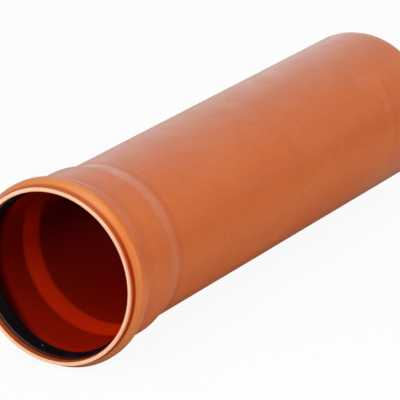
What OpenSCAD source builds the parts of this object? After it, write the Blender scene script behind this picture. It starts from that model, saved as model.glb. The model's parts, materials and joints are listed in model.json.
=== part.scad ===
// Sewer pipe with a formed ring socket: one extruded and flared plastic tube, and
// the rubber lip ring that seats in the groove of its socket. Lengths are in mm.
//
// Both outlines are drawn with the radius along X and the distance from the mouth
// of the socket along Y. They are turned about the pipe's axis and laid down, so
// that the pipe rests on the bead round its groove and on its spigot end.

/* [Barrel] */
// Outside diameter of the barrel
pipe_od = 160; // [110:1:250]
// Thickness of the wall, in the barrel and in the socket
wall = 4; // [3:0.1:6]
// Length of the barrel, from the foot of the socket to the spigot end
barrel_length = 504; // [250:1:3000]

/* [Spigot end] */
// Wall left at the tip of the spigot, inside the chamfer
tip_wall = 2.1; // [1:0.1:2.5]
// Angle of the chamfer to the pipe's axis
chamfer_angle = 15; // [12:1:30]
// Rounding of the cut edges at both ends
edge_round = 0.4; // [0.1:0.1:0.45]

/* [Socket] */
// Play of a spigot in the bore of the socket, on the diameter
socket_play = 1; // [0.4:0.1:2]
// Depth of the socket, from its mouth to the cone at its foot
socket_depth = 73; // [65:1:120]
// Length of the cone that brings the socket down to the barrel
cone_length = 20.5; // [14:0.5:40]
// Inside radius of the bends at both ends of the cone
cone_bend = 20; // [8:1:30]
// How much wider the mouth is than the bore of the socket, on the diameter
mouth_flare = 2; // [0:0.1:4]
// Length of the straight lip at the mouth
lip_length = 7; // [5:0.5:10]

/* [Ring groove] */
// Depth of the groove, outwards from the bore of the socket
groove_depth = 6.5; // [5:0.5:9]
// Length of the slope from the lip to the floor of the groove
front_slope = 6; // [4:0.5:9]
// Length of the floor of the groove
groove_floor = 5.5; // [5:0.5:10]
// Length of the slope from the floor back to the bore of the socket
back_slope = 14; // [11:0.5:20]
// Inside radius of the bend between the lip and the front slope
valley_bend = 1; // [0.5:0.1:2]
// Inside radius of the bend between the front slope and the floor
front_bend = 1.5; // [1:0.1:2]
// Inside radius of the bend between the floor and the back slope
back_bend = 5; // [2:0.5:6]
// Inside radius of the bend between the back slope and the bore
heel_bend = 10; // [4:0.5:12]

/* [Seal ring] */
// Gap between the ring and the groove that it seats in
seat_gap = 0.15; // [0.05:0.05:0.3]
// How far the sealing lip reaches inside the surface of a spigot
lip_squeeze = 2.3; // [1:0.1:3]
// Axial reach of the sealing lip, from the nose of the ring to its land
lip_reach = 10; // [8:0.5:12]
// Length of the land that seals on the spigot
land_length = 2; // [1.5:0.1:3]
// Thickness of the sealing lip at its tip
lip_thickness = 2.4; // [1.8:0.1:3]
// Thickness of the ring's base over the floor of the groove
base_thickness = 3.2; // [2:0.1:3.6]
// Axial length of solid rubber between the nose and the hollow behind the lip
nose_length = 5.2; // [4:0.1:6]
// Height at which the nose leaves the front slope, above the mouth's radius
nose_height = 1.7; // [1.2:0.1:2]
// Height at which the base leaves the back slope, above the bore of the socket
heel_height = 2.9; // [2:0.1:3.4]
// Thickness of the base at its heel
heel_thickness = 1.5; // [1.2:0.1:1.8]
// Rounding of the nose and of the root of the hollow
nose_round = 1; // [0.5:0.1:1]
// Rounding of the lip's land and of the heel
tip_round = 0.5; // [0.2:0.1:0.5]

/* [Hidden] */
$fn = 144;

// Radii of the inside surface and of the barrel
barrel_r = pipe_od / 2;
bore_r = barrel_r - wall;
socket_r = barrel_r + socket_play / 2;
mouth_r = socket_r + mouth_flare / 2;
floor_r = socket_r + groove_depth;

// Distances from the mouth
floor_start = lip_length + front_slope;
floor_end = floor_start + groove_floor;
slope_end = floor_end + back_slope;
cone_end = socket_depth + cone_length;
total_length = cone_end + barrel_length;

// The chamfer takes what the tip leaves of the wall
chamfer_length = (wall - tip_wall) / tan(chamfer_angle);

// The inside line of the tube, as its mandrel forms it: [radius, distance, inside
// radius of the bend there]
tube_line = [
    [mouth_r, 0, 0],
    [mouth_r, lip_length, valley_bend],
    [floor_r, floor_start, front_bend],
    [floor_r, floor_end, back_bend],
    [socket_r, slope_end, heel_bend],
    [socket_r, socket_depth, cone_bend],
    [bore_r, cone_end, cone_bend],
    [bore_r, total_length, 0],
];
bead_corner = 3;

// Place of a corner, and the directions of the line before and after it
function place(line, i) = [line[i].x, line[i].y];
function unit(v) = v / norm(v);
function way_in(line, i) = unit(place(line, max(i, 1)) - place(line, max(i, 1) - 1));
function way_out(line, i) =
    let (k = min(i, len(line) - 2)) unit(place(line, k + 1) - place(line, k));

// The line moved sideways by gap, away from the axis where gap is positive. The
// bends keep their centres, so the wall between both lines is even.
function outward(v) = [v.y, -v.x];
function beside(line, gap) = [
    for (i = [0 : len(line) - 1])
        let (
            a = outward(way_in(line, i)),
            b = outward(way_out(line, i)),
            p = place(line, i) + gap * (a + b) / (1 + a * b)
        )
            [p.x, p.y]
];

// +1 where the line bends towards the axis, and -1 where it bends away from it
function bends_in(line, i) = sign(cross(way_in(line, i), way_out(line, i)));

// The radius that each bend has on a line moved outwards by gap: the inside of a
// bend keeps its own radius, and the other face of the wall goes round it
function bend_radius(line, i, gap, thickness) =
    line[i].z == 0 ? 0
    : bends_in(line, i) > 0 ? line[i].z + gap
    : line[i].z + thickness - gap;

function formed(line, gap, thickness) =
    let (moved = beside(line, gap))
        [for (i = [0 : len(line) - 1]) [moved[i].x, moved[i].y, bend_radius(line, i, gap, thickness)]];

function reversed(list) = [for (i = [len(list) - 1 : -1 : 0]) list[i]];

// Corners of a closed outline, [x, y, rounding], and what rounding each one needs
function at(outline, i) = let (c = outline[(i + len(outline)) % len(outline)]) [c.x, c.y];
function into(outline, i) = unit(at(outline, i) - at(outline, i - 1));
function out_of(outline, i) = unit(at(outline, i + 1) - at(outline, i));
function turn(outline, i) = cross(into(outline, i), out_of(outline, i));
function leg(outline, i) =
    outline[i].z * tan(acos(min(1, into(outline, i) * out_of(outline, i))) / 2);
function arc_start(outline, i) = at(outline, i) - leg(outline, i) * into(outline, i);
function arc_end(outline, i) = at(outline, i) + leg(outline, i) * out_of(outline, i);
function arc_centre(outline, i) =
    let (side = sign(turn(outline, i)), u = into(outline, i))
        arc_start(outline, i) + outline[i].z * side * [-u.y, u.x];

// The sliver between a corner's arc and its chord
module arc_sliver(outline, i) {
    start = arc_start(outline, i);
    end = arc_end(outline, i);
    intersection() {
        translate(arc_centre(outline, i)) circle(r = outline[i].z);
        polygon([start, 2 * at(outline, i) - (start + end) / 2, end]);
    }
}

// A closed outline, given anticlockwise, with each corner rounded by a true arc
module rounded_outline(outline) {
    corners = [for (i = [0 : len(outline) - 1]) if (outline[i].z > 0) i];
    difference() {
        union() {
            polygon([
                for (i = [0 : len(outline) - 1])
                    each outline[i].z > 0 ? [arc_start(outline, i), arc_end(outline, i)] : [at(outline, i)]
            ]);
            for (i = corners)
                if (turn(outline, i) > 0) arc_sliver(outline, i);
        }
        for (i = corners)
            if (turn(outline, i) < 0) arc_sliver(outline, i);
    }
}

// The tube's outside follows its inside line a wall further out, and the spigot's
// chamfer replaces its last corner
inside_line = formed(tube_line, 0, wall);
outside_line = formed(tube_line, wall, wall);
last = len(tube_line) - 1;
pipe_outline = concat(
    [[outside_line[0].x, 0, edge_round]],
    [for (i = [1 : last - 1]) outside_line[i]],
    [
        [barrel_r, total_length - chamfer_length, 0],
        [bore_r + tip_wall, total_length, edge_round],
        [bore_r, total_length, edge_round]
    ],
    [for (i = [last - 1 : -1 : 1]) inside_line[i]],
    [[mouth_r, 0, edge_round]]
);

// The ring lies against the groove from its nose, on the front slope, over the
// floor, to its heel, on the back slope
nose_r = mouth_r + nose_height;
nose_at = lip_length + front_slope * nose_height / (floor_r - mouth_r);
heel_r = socket_r + heel_height;
heel_at = slope_end - back_slope * heel_height / groove_depth;
seat_line = [
    [nose_r, nose_at, 0],
    [floor_r, floor_start, front_bend],
    [floor_r, floor_end, back_bend],
    [heel_r, heel_at, 0],
];
seat = formed(seat_line, -seat_gap, 0);
land_r = barrel_r - lip_squeeze;
land_at = nose_at + lip_reach;
hollow_r = floor_r - base_thickness;
hollow_at = nose_at + nose_length;
ring_outline = concat(
    [[seat[0].x, seat[0].y, nose_round / 2]],
    [seat[1], seat[2]],
    [
        [seat[3].x, seat[3].y, tip_round],
        [seat[3].x - heel_thickness, heel_at - tip_round, tip_round],
        [hollow_r, floor_end, tip_round],
        [hollow_r, hollow_at, nose_round],
        [land_r + lip_thickness, land_at + land_length, tip_round],
        [land_r, land_at + land_length, tip_round],
        [land_r, land_at, tip_round],
        [mouth_r - seat_gap, nose_at, nose_round]
    ]
);

// At rest, one straight line under the pipe touches the round back of the bead and
// the edge where the chamfer starts: it gives the tilt and the height of the axis
bead_arc = outside_line[bead_corner];
bead_centre = [bead_arc.x - bead_arc.z, arc_start(pipe_outline, bead_corner).y];
foot = [barrel_r, total_length - chamfer_length];
rest_run = foot - bead_centre;
tilt = atan(-rest_run.x / rest_run.y) + asin(bead_arc.z / norm(rest_run));
axis_height = foot.x * cos(tilt) + foot.y * sin(tilt);
middle = (total_length * cos(tilt) + (bore_r + tip_wall - outside_line[0].x) * sin(tilt)) / 2;

// The seam of the turned solid lies this many degrees off the line it rests on
seam_turn = 2.3;

// Turns an outline about the pipe's axis and lays it down, mouth towards -X
module laid(outline) {
    translate([-middle, 0, axis_height])
        rotate([0, 90 + tilt, 0])
            rotate([0, 0, seam_turn])
                rotate_extrude() rounded_outline(outline);
}

module pipe() {
    color([0.76, 0.40, 0.24]) laid(pipe_outline);
}

module seal_ring() {
    color([0.07, 0.06, 0.07]) laid(ring_outline);
}

pipe();
seal_ring();
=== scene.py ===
import json
import math
import random

import bpy
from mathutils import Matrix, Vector


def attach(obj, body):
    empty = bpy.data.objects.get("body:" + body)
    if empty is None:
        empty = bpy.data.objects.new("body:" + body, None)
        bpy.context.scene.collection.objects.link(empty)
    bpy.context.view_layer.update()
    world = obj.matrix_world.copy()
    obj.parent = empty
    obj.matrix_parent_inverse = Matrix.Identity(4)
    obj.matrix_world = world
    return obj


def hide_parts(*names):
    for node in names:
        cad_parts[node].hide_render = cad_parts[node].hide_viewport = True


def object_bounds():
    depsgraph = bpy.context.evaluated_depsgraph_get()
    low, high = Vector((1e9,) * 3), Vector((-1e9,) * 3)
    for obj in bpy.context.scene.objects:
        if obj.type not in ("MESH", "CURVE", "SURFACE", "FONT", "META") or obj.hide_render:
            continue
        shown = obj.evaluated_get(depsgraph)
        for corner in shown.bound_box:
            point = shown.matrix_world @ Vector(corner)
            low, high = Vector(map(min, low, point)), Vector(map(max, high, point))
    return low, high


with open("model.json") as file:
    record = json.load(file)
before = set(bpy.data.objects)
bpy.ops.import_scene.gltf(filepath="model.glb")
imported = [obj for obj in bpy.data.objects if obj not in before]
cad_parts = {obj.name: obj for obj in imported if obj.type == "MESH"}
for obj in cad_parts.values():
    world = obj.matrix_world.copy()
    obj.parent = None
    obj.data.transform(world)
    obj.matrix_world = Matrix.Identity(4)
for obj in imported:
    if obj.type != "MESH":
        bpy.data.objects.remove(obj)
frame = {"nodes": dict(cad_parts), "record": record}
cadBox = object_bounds()
cadMiddle = (cadBox[0] + cadBox[1]) / 2
mounts = {mount["name"]: mount for mount in frame["record"]["mounts"]}
print("frame loaded:", ", ".join(sorted(frame["nodes"])))

# The pipe's own axes, in metres: along from the mouth of the socket to the spigot
# end, across to the side, and up square to both
mouthCentre = Vector(mounts["socket"]["pos_m"])
alongWay = -Vector(mounts["socket"]["axis"]).normalized()
acrossWay = Vector((0, 1, 0))
upWay = alongWay.cross(acrossWay)
boreMount = mounts["barrel_bore"]
boreMiddle = (Vector(boreMount["pos_m"]) - mouthCentre).dot(alongWay) * 1000
boreEnd = boreMiddle + boreMount["dims"]["length_mm"] / 2

# What the mounts measure, in mm
barrelRadius = mounts["spigot"]["dims"]["r_mm"]
boreRadius = boreMount["dims"]["r_mm"]
socketRadius = mounts["socket"]["dims"]["r_mm"]
socketDepth = mounts["socket"]["dims"]["length_mm"]
wall = barrelRadius - boreRadius

edgeRound = 0.4             # mm, of the cut edges at both ends
fullLength = boreEnd + edgeRound
turns = 256                 # steps round the axis, for both pieces


def filled(value, count):
    return (value,) * count if isinstance(value, (int, float)) else value


class Wire:
    # An output of a node. Sums and products lay Math nodes for values, Vector Math
    # nodes for vectors and Mix nodes for colours.
    def __init__(self, tree, socket=None):
        self.tree = tree
        self.socket = socket

    def lay(self, kind, settings=None, sockets=None, output=0):
        # Any node: its settings go in first, then the values or wires of its sockets
        node = self.tree.nodes.new(kind)
        for name, value in (settings or {}).items():
            setattr(node, name, value)
        for name, value in (sockets or {}).items():
            if isinstance(value, Wire):
                self.tree.links.new(value.socket, node.inputs[name])
            else:
                node.inputs[name].default_value = value
        return Wire(self.tree, node.outputs[output] if node.outputs else None)

    def math(self, operation, first, second=0.0):
        return self.lay("ShaderNodeMath", {"operation": operation}, {0: first, 1: second})

    def join(self, operation, first, second):
        kinds = [value.socket.type for value in (first, second) if isinstance(value, Wire)]
        if "RGBA" in kinds:
            return self.lay("ShaderNodeMix", {"data_type": "RGBA", "blend_type": operation},
                            {0: 1.0, 6: filled(first, 4), 7: filled(second, 4)}, output=2)
        if "VECTOR" in kinds:
            return self.lay("ShaderNodeVectorMath", {"operation": operation},
                            {0: filled(first, 3), 1: filled(second, 3)})
        return self.math(operation, first, second)

    def __add__(self, other):
        return self.join("ADD", self, other)

    def __radd__(self, other):
        return self.join("ADD", other, self)

    def __sub__(self, other):
        return self.join("SUBTRACT", self, other)

    def __rsub__(self, other):
        return self.join("SUBTRACT", other, self)

    def __mul__(self, other):
        return self.join("MULTIPLY", self, other)

    def __rmul__(self, other):
        return self.join("MULTIPLY", other, self)


def rise(value, low, high):
    # 0 below low and 1 above high, with a smooth step between them
    return value.lay("ShaderNodeMapRange", {"interpolation_type": "SMOOTHSTEP"},
                     {"Value": value, "From Min": low, "From Max": high})


def blend(factor, first, second):
    # From the first colour to the second, by a factor of 0 to 1
    return factor.lay("ShaderNodeMix", {"data_type": "RGBA"}, {0: factor, 6: first, 7: second}, output=2)


def within(value, low, high, soft):
    # 1 between low and high, with soft edges outside them
    return rise(value, low - soft, low) * (1 - rise(value, high, high + soft))


def ridge(value, centre, half):
    # 1 at the centre, and 0 further off than half
    return 1 - rise(value.math("ABSOLUTE", value - centre), 0.0, half)


def tubeSpace(wire):
    # The pipe's own axes in mm: along it from the mouth, across and up
    return wire.lay("ShaderNodeAttribute", {"attribute_name": "tubeSpace"}, output=1)


def fromAxis(wire):
    # Distance from the pipe's axis, in mm
    offset = tubeSpace(wire) * (0.0, 1.0, 1.0)
    return wire.lay("ShaderNodeVectorMath", {"operation": "LENGTH"}, {0: offset}, output=1)


def tubeParts(wire):
    # The three values of tubeSpace, each by itself
    parts = wire.lay("ShaderNodeSeparateXYZ", None, {0: tubeSpace(wire)})
    return parts, *(Wire(wire.tree, parts.socket.node.outputs[i]) for i in (1, 2))


def mottle(wire, place, scale, detail=2.0, roughness=0.5):
    # Noise about 0.5, with so many blotches to a mm as its scale
    return wire.lay("ShaderNodeTexNoise", None,
                    {"Vector": place, "Scale": scale, "Detail": detail, "Roughness": roughness})


def relief(wire, finish, height):
    # A surface's fine relief, as its normal
    return wire.lay("ShaderNodeBump", None,
                    {"Strength": finish["bump"], "Distance": finish["bumpDepth"], "Height": height})


def specks(wire, place, pitch, size, share):
    # Small round spots: one cell in each pitch of mm, and a share of the cells has one
    cells = wire.lay("ShaderNodeTexVoronoi", None, {"Vector": place, "Scale": 1 / pitch})
    chance = wire.lay("ShaderNodeSeparateColor", None,
                      {0: Wire(wire.tree, cells.socket.node.outputs["Color"])})
    return (1 - rise(cells, size / pitch * 0.5, size / pitch)) * chance.math("LESS_THAN", chance, share)


def grain(wire, place, spot, radius):
    # One grain at a spot of the pipe's own space
    gap = wire.lay("ShaderNodeVectorMath", {"operation": "DISTANCE"}, {0: place, 1: spot}, output=1)
    return 1 - rise(gap, radius * 0.4, radius)


def newMaterial(name):
    material = bpy.data.materials.new(name)
    material.use_nodes = True
    material.node_tree.nodes.clear()
    return material, Wire(material.node_tree)


# Outlines: corners are (radius, distance from the mouth, radius of the bend), in mm

def unit(x, y):
    size = math.hypot(x, y)
    return x / size, y / size


def besideLine(line, gap):
    # The line moved away from the axis by gap, its bends keeping their centres
    moved = []
    for i in range(len(line)):
        before = line[max(i, 1)][:2], line[max(i, 1) - 1][:2]
        k = min(i, len(line) - 2)
        after = line[k + 1][:2], line[k][:2]
        ux, uy = unit(before[0][0] - before[1][0], before[0][1] - before[1][1])
        vx, vy = unit(after[0][0] - after[1][0], after[0][1] - after[1][1])
        share = gap / (1 + uy * vy + ux * vx)
        moved.append((line[i][0] + share * (uy + vy), line[i][1] - share * (ux + vx),
                      ux * vy - uy * vx))
    return moved


def formedLine(line, gap, thickness):
    # That line with its bends: the inside of each keeps its own radius, and the other
    # face of the wall goes round it
    made = []
    for (radius, along, side), (_, _, bend) in zip(besideLine(line, gap), line):
        if bend and side > 0:
            made.append((radius, along, bend + gap))
        elif bend:
            made.append((radius, along, bend + thickness - gap))
        else:
            made.append((radius, along, 0))
    return made


def roundedOutline(corners, step, arcStep):
    # Points round a closed outline: straight runs cut to step, bends to arcStep degrees
    count = len(corners)
    legs = []
    for i in range(count):
        px, py, _ = corners[i - 1]
        cx, cy, bend = corners[i]
        nx, ny, _ = corners[(i + 1) % count]
        ux, uy = unit(cx - px, cy - py)
        vx, vy = unit(nx - cx, ny - cy)
        turn = math.atan2(ux * vy - uy * vx, ux * vx + uy * vy)
        legs.append((ux, uy, vx, vy, turn, bend * math.tan(abs(turn) / 2)))
    points = []
    for i in range(count):
        cx, cy, bend = corners[i]
        ux, uy, vx, vy, turn, leg = legs[i]
        if bend:
            sx, sy = cx - leg * ux, cy - leg * uy
            side = math.copysign(1, turn)
            ox, oy = sx - bend * side * uy, sy + bend * side * ux
            parts = max(2, math.ceil(abs(math.degrees(turn)) / arcStep))
            start = math.atan2(sy - oy, sx - ox)
            for k in range(parts + 1):
                angle = start + turn * k / parts
                points.append((ox + bend * math.cos(angle), oy + bend * math.sin(angle)))
        else:
            points.append((cx, cy))
        nextLeg = legs[(i + 1) % count][5]
        nx, ny, _ = corners[(i + 1) % count]
        ax, ay = points[-1]
        bx, by = nx - nextLeg * vx, ny - nextLeg * vy
        run = math.hypot(bx - ax, by - ay)
        parts = max(1, math.ceil(run / step(ay, by)))
        for k in range(1, parts):
            points.append((ax + (bx - ax) * k / parts, ay + (by - ay) * k / parts))
    return points


def turnedMesh(name, outline, shift):
    # Turns an outline about the pipe's axis. shift(radius, along, angle) gives how
    # far a point moves outwards and along, in mm
    vertices, tube = [], []
    for k in range(turns):
        angle = 2 * math.pi * k / turns
        for radius, along in outline:
            out, on = shift(radius, along, angle)
            r, s = radius + out, along + on
            across, up = r * math.sin(angle), r * math.cos(angle)
            tube.append((s, across, up))
            vertices.append(mouthCentre + (alongWay * s + acrossWay * across + upWay * up) / 1000)
    count = len(outline)
    faces = []
    for k in range(turns):
        here, there = k * count, (k + 1) % turns * count
        for i in range(count):
            j = (i + 1) % count
            faces.append((here + i, here + j, there + j, there + i))
    mesh = bpy.data.meshes.new(name)
    mesh.from_pydata(vertices, [], faces)
    mesh.polygons.foreach_set("use_smooth", [True] * len(faces))
    spread = mesh.attributes.new("tubeSpace", "FLOAT_VECTOR", "POINT")
    spread.data.foreach_set("vector", [value for point in tube for value in point])
    piece = bpy.data.objects.new(name, mesh)
    bpy.context.scene.collection.objects.link(piece)
    return piece


def addMask(piece, name, values):
    # One value for each point of the piece, for its material
    mask = piece.data.attributes.new(name, "FLOAT", "POINT")
    mask.data.foreach_set("value", values)


def waves(seed, count, reach, longest, shortest):
    # A slow unevenness of a surface that closes on itself round the pipe
    chance = random.Random(seed)
    parts = [(chance.randint(0, 5), 2 * math.pi / chance.uniform(shortest, longest),
              chance.uniform(0, 2 * math.pi), chance.uniform(0.4, 1.0)) for _ in range(count)]
    total = sum(part[3] for part in parts)

    def height(along, angle):
        return reach * sum(size * math.cos(around * angle + rate * along + phase)
                           for around, rate, phase, size in parts) / total
    return height


def strewn(seed, marks, placeAt):
    # Marks strewn over a surface, the same each run: place, radius and strength.
    # placeAt(share) gives a mark's distance from the mouth and from the axis
    chance = random.Random(seed)
    made = []
    for _ in range(marks["count"]):
        along, radius = placeAt(chance.random())
        angle = chance.uniform(0, 2 * math.pi)
        made.append(((along, radius * math.sin(angle), radius * math.cos(angle)),
                     chance.uniform(*marks["radii"]), chance.uniform(*marks["strengths"])))
    return made


# The tube

pipe = {
    "mouthWider": 1.0,        # mm that the mouth's radius is over the socket's
    "lipLength": 7.0,
    "frontSlope": 6.0,
    "grooveFloor": 5.5,
    "backSlope": 14.0,
    "grooveDepth": 6.5,
    "coneLength": 20.5,
    "bends": {"valley": 1.0, "front": 1.5, "back": 5.0, "heel": 10.0, "cone": 20.0},
    "tipWall": 2.1,
    "chamferAngle": 15.0,     # degrees to the axis
    "unevenness": 0.07,       # mm that the surface wanders, in all
    "sawing": 0.22,           # mm that the cut ends are out of square and rough
    # mm between points across the wall, along the socket and the spigot, and down the
    # barrel, which counts from the first of these distances to the second before the end
    "steps": (0.8, 2.0, 8.0),
    "barrel": (110.0, 30.0),
    "arcStep": 5.0,           # degrees between points round a bend
    # shallow rings left in the outside: distance from the mouth, half width, depth
    "rings": ((36.5, 2.6, 0.14), (98.0, 3.0, 0.05)),
    "colours": {
        "outside": (0.545, 0.104, 0.003, 1),
        "redder": (0.440, 0.068, 0.002, 1),
        "paler": (0.640, 0.190, 0.045, 1),
        "valley": (0.300, 0.018, 0.000, 1),
        "bead": (0.600, 0.150, 0.015, 1),
        "beadTop": (0.710, 0.235, 0.054, 1),
        "rubbed": (0.680, 0.260, 0.130, 1),
        # pale scuffs, and the same tone as painted light low on the near side and on the socket
        "scuff": (0.690, 0.330, 0.220, 1),
        # dirt, and the same tone as painted shade along the underside and on the socket's far side
        "dirt": (0.150, 0.040, 0.025, 1),
        # the inside is darker and redder than the outside: partly its own deeper tone, mostly painted
        # shade; the lit tones are painted light
        "inside": (0.370, 0.009, 0.000, 1),
        "lipInside": (0.450, 0.085, 0.018, 1),
        "coneInside": (0.670, 0.022, 0.001, 1),
        "coneLit": (0.860, 0.037, 0.002, 1),
        "deepInside": (0.660, 0.002, 0.000, 1),
        "shade": (0.050, 0.001, 0.000, 1),
        "cut": (0.990, 0.600, 0.390, 1),
        "sawn": (0.760, 0.370, 0.200, 1),
        "worn": (0.600, 0.170, 0.050, 1),
    },
    # tone rings on the outside: distance at the axis, half width, share of the redder
    # tone, lean in mm of distance per mm of height, and how broken it is
    "toneRings": ((39.0, 9.0, 0.34, 0.0, 0.2), (98.5, 7.0, 0.55, 0.0, 0.2),
                  (177.0, 5.0, 0.16, 0.03, 0.9), (325.0, 7.0, 0.30, 0.02, 0.9),
                  (519.0, 6.0, 0.42, 0.155, 0.5)),
    "paleRing": (511.0, 15.0, 0.14, 0.155),      # the same, whole and of the paler tone
    # bands of painted shade and painted light along the near side: height, half height and share
    "redderBand": (28.0, 30.0, 0.33),
    "dullerBand": (-4.0, 32.0, 0.05),
    # how much of each finish, and of each painted light or shade, shows, from 0 to 1
    "shares": {
        "streaks": 0.10, "blotches": 0.30, "clouds": 0.20, "scuffs": 0.22, "specks": 0.7,
        "rubs": 0.09, "grime": 0.08, "grimeDulls": 0.28, "underside": 0.20, "farSocket": 0.25,
        "bead": 0.9, "beadTop": 0.8, "beadBelow": 0.3, "backBelow": 0.35, "socketBelow": 0.05,
        "beadFoot": 0.08, "coneRubbed": 0.19, "insideStreaks": 0.10, "coneLit": 0.9,
        "coneShaded": 0.55, "sawMarks": 0.30, "burr": 0.25, "worn": 0.6,
    },
    # dull smudges of handling and grime, and pale rubs, strewn over the outside: how
    # many, radii in mm and strengths
    "smudges": {"count": 30, "radii": (2.8, 4.6), "strengths": (0.6, 1.4)},
    "rubs": {"count": 20, "radii": (3.0, 8.0), "strengths": (0.6, 1.4)},
    # one wide smudge on top of the cone: its place in mm, radius and strength
    "coneSmudge": ((80.0, -4.0, 84.0), 13.0, 1.2),
    "roughness": 0.40,
    # how much rougher than that: by clouds either way, in scuffs, on the cut ends and
    # round the groove
    "rougher": {"clouds": 0.12, "scuffs": 0.12, "ends": 0.20, "groove": 0.16},
    "ior": 1.46,
    "dullSpecular": 0.03,     # where the pipe sees little but itself
    "dust": {"sheen": 0.66, "roughness": 0.35, "top": 0.4, "spigot": 0.4},
    "bump": 0.35,
    "bumpDepth": 0.0001,      # metres
    "relief": {"peel": 0.25, "drawn": 0.45, "lathe": 0.10, "sawn": 0.8, "scuffs": 0.35},
    "seed": 41,
}


mouthRadius = socketRadius + pipe["mouthWider"]
floorRadius = socketRadius + pipe["grooveDepth"]         # of the groove
floorStart = pipe["lipLength"] + pipe["frontSlope"]
floorEnd = floorStart + pipe["grooveFloor"]
lengthwise = (0.012, 1.0, 1.0)   # stretches a texture into streaks along the pipe


def pipeLine():
    # The inside line of the tube, as its mandrel forms it
    bend = pipe["bends"]
    return [
        (mouthRadius, 0.0, 0),
        (mouthRadius, pipe["lipLength"], bend["valley"]),
        (floorRadius, floorStart, bend["front"]),
        (floorRadius, floorEnd, bend["back"]),
        (socketRadius, floorEnd + pipe["backSlope"], bend["heel"]),
        (socketRadius, socketDepth, bend["cone"]),
        (boreRadius, socketDepth + pipe["coneLength"], bend["cone"]),
        (boreRadius, fullLength, 0),
    ]


def makePipe():
    line = pipeLine()
    inside, outside = formedLine(line, 0, wall), formedLine(line, wall, wall)
    chamfer = (wall - pipe["tipWall"]) / math.tan(math.radians(pipe["chamferAngle"]))
    corners = [(outside[0][0], 0.0, edgeRound)] + outside[1:-1] + [
        (barrelRadius, fullLength - chamfer, 0),
        (boreRadius + pipe["tipWall"], fullLength, edgeRound),
        (boreRadius, fullLength, edgeRound),
    ] + inside[-2:0:-1] + [(line[0][0], 0.0, edgeRound)]

    def step(start, end):
        # fine round the socket and the chamfer, coarser down the barrel
        across, fine, coarse = pipe["steps"]
        if abs(end - start) < 1e-6:
            return across
        first, last = pipe["barrel"]
        return coarse if first < (start + end) / 2 < fullLength - last else fine

    outline = roundedOutline(corners, step, pipe["arcStep"])
    # the shallow rings need more points than the plain barrel
    ringed = []
    for i, (radius, along) in enumerate(outline):
        ringed.append((radius, along))
        nextRadius, nextAlong = outline[(i + 1) % len(outline)]
        near = [half for place, half, _ in pipe["rings"]
                if along < place + 2 * half and nextAlong > place - 2 * half and nextAlong > along]
        if near:
            parts = math.ceil((nextAlong - along) / (min(near) / 3))
            for share in (k / parts for k in range(1, parts)):
                ringed.append((radius + (nextRadius - radius) * share,
                               along + (nextAlong - along) * share))
    outline = ringed
    # the middle of the wall, which parts its outside from its inside
    middle = besideLine(line, wall / 2)

    def middleAt(along):
        for (r0, s0, _), (r1, s1, _) in zip(middle, middle[1:]):
            if along <= s1:
                return r0 + (r1 - r0) * max(0, along - s0) / (s1 - s0)
        return middle[-1][0]

    inner = [1.0 if radius < middleAt(along) else 0.0 for radius, along in outline]
    wander = waves(pipe["seed"], count=9, reach=pipe["unevenness"], longest=260, shortest=60)
    saw = waves(pipe["seed"] + 1, count=12, reach=pipe["sawing"] / 2, longest=30, shortest=8)
    cutReach = edgeRound + 0.1

    def shift(radius, along, angle):
        # inwards only, so that the tube never grows
        out = wander(along, angle) - pipe["unevenness"]
        if radius > middleAt(along):
            for place, half, depth in pipe["rings"]:
                gap = abs(along - place) / half
                if gap < 1:
                    out -= depth * (1 - gap * gap) ** 2
        on = 0.0
        if along < cutReach:
            on = pipe["sawing"] / 2 + saw(0.0, angle)
        elif along > fullLength - cutReach:
            on = -pipe["sawing"] / 2 - saw(40.0, angle)
        return out, on

    piece = turnedMesh("tube", outline, shift)
    addMask(piece, "innerWall", inner * turns)
    print("tube:", len(outline), "points on the outline,", len(piece.data.polygons), "faces")
    return piece


def outsideAt(share):
    # along the outside from the foot of the bead to the spigot end
    start = floorEnd + pipe["backSlope"]
    along = start + share * (fullLength - start)
    left = (socketDepth + pipe["coneLength"] - along) / pipe["coneLength"]
    return along, barrelRadius + min(1, max(0, left)) * (socketRadius + wall - barrelRadius)


def valleyShade(along, up):
    # the valley beside the mouth, which less light reaches the lower it lies
    depth = rise(along, 0.2, 4.4) * (1 - rise(along, 5.7, 7.2))
    return depth * (1 - 0.75 * rise(up, 25.0, 90.0))


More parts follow.
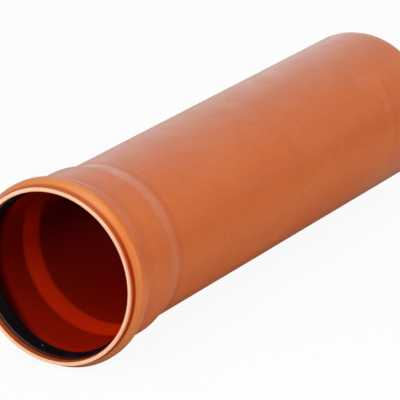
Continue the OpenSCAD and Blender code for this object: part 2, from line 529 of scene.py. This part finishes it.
def outsideTone(wire, along, across, up, place, grime):
    colours, shares = pipe["colours"], pipe["shares"]
    # the long streaks that the extrusion leaves, and slow clouds of tone
    streaks = mottle(wire, place * lengthwise, 0.16, 4.0)
    clouds = mottle(wire, place * (0.35, 1.0, 1.0), 0.022, 3.0, 0.6)
    blotches = mottle(wire, place, 0.14, 3.0, 0.7)
    tint = blend(rise(streaks, 0.45, 0.75) * shares["streaks"], colours["outside"], colours["redder"])
    tint = blend(rise(blotches, 0.42, 0.68) * shares["blotches"], tint, colours["redder"])
    tint = blend(rise(clouds, 0.40, 0.72) * shares["clouds"], tint, colours["paler"])
    for centre, half, share, lean, broken in pipe["toneRings"]:
        gaps = 1 - broken + broken * rise(blotches, 0.40, 0.56)
        tint = blend(ridge(along - up * lean, centre, half) * gaps * share, tint, colours["redder"])
    centre, half, share, lean = pipe["paleRing"]
    tint = blend(ridge(along - up * lean, centre, half) * share, tint, colours["paler"])
    for spot, radius, strength in strewn(pipe["seed"] + 2, pipe["rubs"], outsideAt):
        rubbed = grain(wire, place, spot, radius) * (strength * shares["rubs"])
        tint = blend(rubbed, tint, colours["scuff"])
    tint = blend(grime * shares["grime"], tint, colours["dirt"])
    # painted shade and light: along the near side one long band is painted darker and redder, and below
    # it a band is painted paler
    near = rise(0.0 - across, 0.0, 40.0)
    for band, tone in (("redderBand", "redder"), ("dullerBand", "scuff")):
        height, half, share = pipe[band]
        tint = blend(ridge(up, height, half) * near * share, tint, colours[tone])
    # the cone is rubbed paler where its mandrel pressed, and so is the foot of the bead
    below = rise(0.0 - up, -40.0, 40.0)
    top = ridge(across, -5.0, 25.0) * rise(up, 0.0, 40.0)
    cone = within(along, 78.0, 89.0, 4.0) * (1 - 0.35 * below) * (1 - 0.5 * top)
    tint = blend(cone * shares["coneRubbed"], tint, colours["rubbed"])
    tint = blend(ridge(along, 28.5, 3.5) * shares["beadFoot"], tint, colours["rubbed"])
    # painted highlight on the front of the bead, strongest high up, and painted light on its back and on
    # the socket low down
    front = rise(along, 5.6, 7.4) * (1 - rise(along - rise(up, 62.0, 88.0) * 4.0, 8.2, 14.5))
    tint = blend(front * shares["bead"], tint, colours["bead"])
    high = front * rise(along, 6.4, 8.2) * rise(up, 35.0, 84.0)
    tint = blend(high * shares["beadTop"], tint, colours["beadTop"])
    low = (within(along, 16.0, 32.0, 4.0) * shares["backBelow"] + front * shares["beadBelow"]) * below
    tint = blend(low, tint, colours["beadTop"])
    tint = blend((1 - rise(along, 70.0, 110.0)) * below * shares["socketBelow"], tint, colours["scuff"])
    # painted shade in the dirt tone along the line that it lies on, and on the far side of the socket
    tint = blend(rise(0.0 - up, 38.0, 60.0) * shares["underside"], tint, colours["dirt"])
    farSide = rise(across, 8.0, 45.0) * (1 - rise(along, 95.0, 150.0))
    tint = blend(farSide * (1 - 0.5 * front) * shares["farSocket"], tint, colours["dirt"])
    return blend(valleyShade(along, up), tint, colours["valley"])


def behindRing(along, across):
    # behind the ring the wall hardly sees the mouth, least of all at the far side
    return 1 - rise(along - rise(across, 20.0, 75.0) * 11.0, 20.0, 33.0)


def insideTone(wire, along, across, up, place):
    colours, shares = pipe["colours"], pipe["shares"]
    streaks = mottle(wire, place * (0.02, 1.0, 1.0), 0.12, 3.0)
    tint = blend(rise(streaks, 0.4, 0.7) * shares["insideStreaks"], colours["inside"], colours["shade"])
    # painted shade darkens the side wall, most of all beyond the cone, and the cone gets painted light,
    # darker high up
    sideShade = ridge(up, 12.0, 46.0) * (rise(along, 90.0, 105.0) * 0.30 + 0.34)
    tint = blend(sideShade, tint, colours["shade"])
    # painted light on the bottom of the bore, deep inside
    tint = blend(rise(along, 98.0, 230.0) * rise(0.0 - up, -10.0, 40.0), tint, colours["deepInside"])
    cone = blend(ridge(up, -36.0, 44.0) * shares["coneLit"], colours["coneInside"], colours["coneLit"])
    cone = blend(rise(up, 4.0, 40.0) * shares["coneShaded"], cone, colours["shade"])
    tint = blend(within(along, socketDepth + 4.0, socketDepth + 19.2, 6.0), tint, cone)
    tint = blend(behindRing(along, across), tint, colours["shade"])
    # painted light near the mouth, where the inside is brighter and more orange
    return blend(1 - rise(along, 4.0, 9.5), tint, colours["lipInside"])


def sawMarks(wire, place):
    # the fine marks of the saw's teeth, across the cut ends
    return mottle(wire, place * (1.0, 0.08, 1.0), 1.4, 3.0)


def cutTone(wire, across, place):
    colours, shares = pipe["colours"], pipe["shares"]
    burr = mottle(wire, place, 0.35, 2.0)
    marks = rise(sawMarks(wire, place), 0.42, 0.72) * shares["sawMarks"]
    tint = blend(marks, colours["cut"], colours["sawn"])
    tint = blend(rise(burr, 0.55, 0.75) * shares["burr"], tint, colours["sawn"])
    # the mouth's outer edge is rubbed back to the pipe's own tone on the near side
    lip = mouthRadius + wall
    outer = rise(fromAxis(wire), lip - 2.5, lip - 0.1)
    return blend(outer * rise(0.0 - across, 56.0, 76.0) * shares["worn"], tint, colours["worn"])


def pipeMaterial():
    material, wire = newMaterial("orangeBrownPlastic")
    colours, shares = pipe["colours"], pipe["shares"]
    place = tubeSpace(wire)
    along, across, up = tubeParts(wire)
    inner = wire.lay("ShaderNodeAttribute", {"attribute_name": "innerWall"}, output=2)
    # short scuffs lengthwise, gathered in patches, more of them round the socket
    patches = rise(mottle(wire, place, 0.018, 2.0), 0.48, 0.68) + 0.6 * (1 - rise(along, 90.0, 120.0))
    hairs = rise(mottle(wire, place * (0.06, 1.0, 1.0), 0.9, 2.0, 0.4), 0.66, 0.78)
    rubs = rise(mottle(wire, place * (1.0, 0.12, 0.12), 0.8, 2.0, 0.4), 0.68, 0.80)
    scuffs = (hairs + rubs * 0.5) * patches * (1 - inner)
    dirt = specks(wire, place, pitch=9.0, size=0.45, share=0.10) * (1 - inner)
    smudges = [pipe["coneSmudge"]] + strewn(pipe["seed"] + 3, pipe["smudges"], outsideAt)
    grime = sum(grain(wire, place, spot, radius) * strength for spot, radius, strength in smudges)

    tint = blend(inner, outsideTone(wire, along, across, up, place, grime),
                 insideTone(wire, along, across, up, place))
    tint = blend(scuffs * shares["scuffs"], tint, colours["scuff"])
    tint = blend(dirt * shares["specks"], tint, colours["dirt"])
    # the cut ends, where the knife that breaks their inner edges leaves those the tone
    # of the inside
    ends = (1 - rise(along, 0.24, 0.42)) + rise(along, fullLength - 0.42, fullLength - 0.24)
    radius = fromAxis(wire)
    mouthEdge = (1 - rise(radius, mouthRadius + 0.3, mouthRadius + 0.6)) * (1 - rise(along, 1.0, 2.0))
    ends = ends * rise(radius, boreRadius + 0.2, boreRadius + 0.5) * (1 - mouthEdge)
    tint = blend(ends, tint, cutTone(wire, across, place))

    # relief too fine for the mesh: orange peel, streaks, the saw's marks, and the lathe's
    # lines on the chamfer, 0.9 mm apart
    peel = mottle(wire, place, 0.9, 3.0)
    drawn = mottle(wire, place * lengthwise, 0.5, 3.0)
    lathe = along.math("SINE", along * 7.0) * rise(along, fullLength - 7.4, fullLength - 7.0)
    sawn = sawMarks(wire, place) * ends
    parts = pipe["relief"]
    normal = relief(wire, pipe, peel * parts["peel"] + drawn * parts["drawn"] + lathe * parts["lathe"]
                    + sawn * parts["sawn"] - scuffs * parts["scuffs"])
    rougher = pipe["rougher"]
    gloss = (mottle(wire, place, 0.05, 4.0) * (2 * rougher["clouds"]) + scuffs * rougher["scuffs"]
             + ends * rougher["ends"] + ridge(along, 13.0, 6.0) * rougher["groove"]
             + pipe["roughness"] - rougher["clouds"])

    def plastic(extra):
        sockets = {"Base Color": tint, "Roughness": gloss, "Normal": normal, "IOR": pipe["ior"]}
        return wire.lay("ShaderNodeBsdfPrincipled", None, {**sockets, **extra})

    # fine dust lies on the top and the far side, and thickens towards the spigot
    dust = rise(across - within(along, 17.0, 33.0, 4.0) * 35.0, -50.0, 0.0) * rise(up, 10.0, 50.0)
    farEnd = rise(along, 280.0, 520.0)
    farSide = rise(across, 5.0, 32.0) * (0.25 * rise(along, 88.0, 120.0) + 0.4 * farEnd)
    dust = dust * rise(along, 5.0, 7.5) * (pipe["dust"]["top"] + 0.1 * farEnd + farSide)
    dust = dust + rise(along, 330.0, 520.0) * rise(0.0 - up, 0.0, 40.0) * pipe["dust"]["spigot"]
    sheen = {"Sheen Weight": pipe["dust"]["sheen"], "Sheen Roughness": pipe["dust"]["roughness"]}
    skin = wire.lay("ShaderNodeMixShader", None,
                    {0: dust * (1 - inner), 1: plastic({}), 2: plastic(sheen)})
    # the valley beside the mouth and the wall inside see little but the tube itself,
    # and hardly shine, and nor do the smudges
    dull = plastic({"Specular IOR Level": pipe["dullSpecular"]})
    outer = (valleyShade(along, up) + grime * shares["grimeDulls"]) * (1 - inner)
    hidden = (0.5 + 0.5 * behindRing(along, across)) * inner
    whole = wire.lay("ShaderNodeMixShader", None, {0: outer + hidden, 1: skin, 2: dull})
    wire.lay("ShaderNodeOutputMaterial", None, {"Surface": whole})
    return material


# The lip ring

ring = {
    "seatGap": 0.15,
    "lipSqueeze": 2.3,
    "lipReach": 10.0,
    "landLength": 2.0,
    "lipThickness": 2.4,
    "baseThickness": 3.2,
    "noseLength": 5.2,
    "noseHeight": 1.7,
    "heelHeight": 2.9,
    "heelThickness": 1.5,
    "noseRound": 1.0,
    "tipRound": 0.5,
    # where the lip gives way outwards or hangs inwards: mm, at which angle from the top
    # and how many degrees to either side
    "lipGives": ((1.0, 188.0, 32.0), (-1.1, 130.0, 38.0)),
    "colours": {
        "rubber": (0.0045, 0.0030, 0.0040, 1),
        "bloom": (0.018, 0.011, 0.014, 1),
        "edge": (0.110, 0.092, 0.092, 1),
        "dusty": (0.075, 0.016, 0.009, 1),
        "grit": (0.420, 0.340, 0.260, 1),
    },
    # grains of grit strewn on the lip: how many, radii in mm and how pale
    "grit": {"count": 6, "radii": (0.8, 1.0), "strengths": (0.3, 1.0)},
    "bloomed": (0.6, 0.5),    # share of bloom at the near side, and how much of it goes towards the far side, where its loss is painted shade
    "edgeRubbed": 0.75,
    "dusted": 0.8,
    "roughness": 0.45,
    "greasy": 0.07,           # how much rougher or smoother than that it gets
    "specular": 0.04,
    "bump": 0.5,
    "bumpDepth": 0.0001,      # metres
    "relief": {"fine": 0.6, "flow": 0.8},
    "step": 0.8,              # mm between points along its section
    "arcStep": 10.0,
    "unevenness": 0.04,       # mm
    "seed": 7,
}


noseAt = pipe["lipLength"] + pipe["frontSlope"] * ring["noseHeight"] / (floorRadius - mouthRadius)
landRadius = barrelRadius - ring["lipSqueeze"]


def makeRing():
    bend = pipe["bends"]
    noseRadius = mouthRadius + ring["noseHeight"]
    heelRadius = socketRadius + ring["heelHeight"]
    heelAt = floorEnd + pipe["backSlope"] * (1 - ring["heelHeight"] / pipe["grooveDepth"])
    gap, tip, nose = ring["seatGap"], ring["tipRound"], ring["noseRound"]
    seat = formedLine([(noseRadius, noseAt, 0), (floorRadius, floorStart, bend["front"]),
                       (floorRadius, floorEnd, bend["back"]), (heelRadius, heelAt, 0)], -gap, 0)
    landAt = noseAt + ring["lipReach"]
    lipEnd = landAt + ring["landLength"]
    hollow = floorRadius - ring["baseThickness"]
    heelInner, heelEnd = seat[3][0] - ring["heelThickness"], heelAt - tip
    corners = [
        (seat[0][0], seat[0][1], nose / 2), seat[1], seat[2],
        (seat[3][0], seat[3][1], tip),
        (heelInner, heelEnd, tip),
        (hollow, floorEnd, tip),
        (hollow, noseAt + ring["noseLength"], nose),
        (landRadius + ring["lipThickness"], lipEnd, tip),
        (landRadius, lipEnd, tip),
        (landRadius, landAt, tip),
        (mouthRadius - gap, noseAt, nose),
    ]
    outline = roundedOutline(corners, lambda start, end: ring["step"], ring["arcStep"])
    wander = waves(ring["seed"], count=6, reach=ring["unevenness"], longest=40, shortest=10)

    def shift(radius, along, angle):
        # the tip of the lip gives way or hangs a little, and stays clear of the base
        reach = max(0, (along - noseAt - 1) / (lipEnd - noseAt - 1)) ** 1.5
        gives = 0
        for most, middle, spread in ring["lipGives"]:
            off = (math.degrees(angle) - middle + 180) % 360 - 180
            if abs(off) < spread:
                gives += most * reach * math.cos(math.pi / 2 * off / spread) ** 2
        base = hollow - (hollow - heelInner) * max(0, along - floorEnd) / (heelEnd - floorEnd)
        return wander(along, angle) + min(gives, max(0, base - 0.1 - radius)), 0.0

    piece = turnedMesh("lipRing", outline, shift)
    print("lip ring:", len(outline), "points on the outline,", len(piece.data.polygons), "faces")
    return piece


def lipAt(share):
    # along the face of the lip, from the nose to its land
    start = mouthRadius - ring["seatGap"]
    return noseAt + share * ring["lipReach"], start + share * (landRadius - start)


def ringMaterial():
    material, wire = newMaterial("blackRubber")
    colours = ring["colours"]
    place = tubeSpace(wire)
    along, across, _ = tubeParts(wire)
    clouds = mottle(wire, place, 0.09, 4.0, 0.6)
    grease = mottle(wire, place * (1.0, 0.3, 0.3), 0.25, 3.0)
    side = rise(across, -5.0, 45.0)
    most, fades = ring["bloomed"]
    # bloom on the rubber, partly real and fading towards the far side as painted shade
    tint = blend(rise(clouds, 0.42, 0.72) * (most - fades * side), colours["rubber"], colours["bloom"])
    # a painted highlight along the moulding's edge at the far side, and painted reddish light from the
    # pipe elsewhere on its nose
    nose = ridge(along, 9.15, 0.85)
    tint = blend(nose * side * ring["edgeRubbed"], tint, colours["edge"])
    # painted reddish light, thrown back by the pipe, on the near side of the nose
    tint = blend((1 - rise(along, 9.3, 11.0)) * (1 - side) * ring["dusted"], tint, colours["dusty"])
    for spot, radius, strength in strewn(ring["seed"] + 1, ring["grit"], lipAt):
        tint = blend(grain(wire, place, spot, radius) * strength, tint, colours["grit"])
    fine = mottle(wire, place, 2.2, 3.0)
    flow = mottle(wire, place * (2.5, 0.2, 0.2), 0.9, 2.0)
    parts = ring["relief"]
    normal = relief(wire, ring, fine * parts["fine"] + flow * parts["flow"])
    gloss = grease * (2 * ring["greasy"]) + ring["roughness"] - ring["greasy"]
    shader = wire.lay("ShaderNodeBsdfPrincipled", None,
                      {"Base Color": tint, "Roughness": gloss, "Normal": normal,
                       "Specular IOR Level": ring["specular"]})
    wire.lay("ShaderNodeOutputMaterial", None, {"Surface": shader})
    return material


tubePiece = makePipe()
tubePiece.data.materials.append(pipeMaterial())
ringPiece = makeRing()
ringPiece.data.materials.append(ringMaterial())
for piece, node in ((tubePiece, "pipe"), (ringPiece, "seal_ring")):
    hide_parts(node)
    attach(piece, "root")
print("pieces placed")


# Floor, light and camera

studio = {
    "floorSize": 30.0,
    "floorColour": (0.74, 0.74, 0.74, 1),
    "floorPaper": (0.97, 0.97, 0.97, 1),    # the same floor as the camera sees it
    "floorGloss": (0.47, 0.47, 0.47, 1),    # and as the pipe mirrors it
    "floorShown": 0.93,       # share of plain white in that
    "ambient": 0.12,
    "mirrored": 0.98,         # how bright the white room is in the pipe's gloss
    # power in W, side and distance in m, and the way to each lamp from the pipe
    "lamps": {
        "key": (690.0, 5.33, 10.0, (0, -1, 0.20)),
        "frontTop": (51.0, 2.4, 3.0, (-1, -0.1, 1)),
        "farTop": (7.0, 2.4, 3.0, (0, 1, 1)),
        "rimLeft": (9.5, 2.4, 3.0, (1, 1, 0.35)),
        "rimTop": (10.0, 2.4, 3.0, (1, 0, 1)),
        "mouthHigh": (9.0, 1.4, 3.0, (-1, 0.2, 0.5)),
        "mouthLow": (188.0, 4.67, 10.0, (-1, 0.4, 0.12)),
    },
}


def makeFloor():
    size = studio["floorSize"] / 2
    mesh = bpy.data.meshes.new("floor")
    mesh.from_pydata([(-size, -size, 0), (size, -size, 0), (size, size, 0), (-size, size, 0)],
                     [], [(0, 1, 2, 3)])
    floor = bpy.data.objects.new("floor", mesh)
    bpy.context.scene.collection.objects.link(floor)
    material, wire = newMaterial("paleFloor")
    seen = wire.lay("ShaderNodeLightPath", output="Is Camera Ray")
    mirrored = wire.lay("ShaderNodeLightPath", output="Is Glossy Ray")
    bounced = blend(mirrored, studio["floorColour"], studio["floorGloss"])
    paper = wire.lay("ShaderNodeBsdfDiffuse", None,
                     {"Color": blend(seen, bounced, studio["floorPaper"])})
    white = wire.lay("ShaderNodeEmission", None, {"Color": (1, 1, 1, 1), "Strength": 1.0})
    mixed = wire.lay("ShaderNodeMixShader", None,
                     {0: seen * studio["floorShown"], 1: paper, 2: white})
    wire.lay("ShaderNodeOutputMaterial", None, {"Surface": mixed})
    mesh.materials.append(material)


def makeLight():
    world = bpy.data.worlds.new("studio")
    bpy.context.scene.world = world
    world.use_nodes = True
    world.node_tree.nodes.clear()
    wire = Wire(world.node_tree)
    seen = wire.lay("ShaderNodeLightPath", output="Is Camera Ray")
    mirrored = wire.lay("ShaderNodeLightPath", output="Is Glossy Ray")
    low = studio["ambient"]
    strength = seen * (1 - low) + mirrored * (studio["mirrored"] - low) + low
    sky = wire.lay("ShaderNodeBackground", None, {"Color": (1, 1, 1, 1), "Strength": strength})
    wire.lay("ShaderNodeOutputWorld", None, {"Surface": sky})
    for name, (power, side, distance, way) in studio["lamps"].items():
        lamp = bpy.data.lights.new(name, "AREA")
        lamp.energy = power
        lamp.size = side
        softbox = bpy.data.objects.new(name, lamp)
        bpy.context.scene.collection.objects.link(softbox)
        away = Vector(way).normalized()
        softbox.location = cadMiddle + away * distance
        softbox.rotation_euler = (-away).to_track_quat("-Z", "Y").to_euler()
        softbox.visible_camera = False


view = {
    "lens": 327.418,          # mm, on a sensor this wide
    "sensor": 36.0,
    "heading": 30.7859,       # degrees from +X towards +Y
    "dip": 20.6442,           # degrees below the horizon
    "distance": 3.55946,      # metres
    "aim": (-0.01477, 0.01133, -0.01829),   # from the middle of the pipe, in metres
}


def makeCamera():
    heading, dip = math.radians(view["heading"]), math.radians(view["dip"])
    forward = Vector((math.cos(heading) * math.cos(dip), math.sin(heading) * math.cos(dip),
                      -math.sin(dip)))
    lens = bpy.data.cameras.new("camera")
    lens.lens = view["lens"]
    lens.sensor_width = view["sensor"]
    lens.clip_end = 100
    camera = bpy.data.objects.new("camera", lens)
    bpy.context.scene.collection.objects.link(camera)
    camera.location = cadMiddle + Vector(view["aim"]) - forward * view["distance"]
    camera.rotation_euler = forward.to_track_quat("-Z", "Y").to_euler()
    bpy.context.scene.camera = camera


makeFloor()
makeLight()
makeCamera()
bpy.context.scene.view_settings.view_transform = "Standard"
print("studio set")
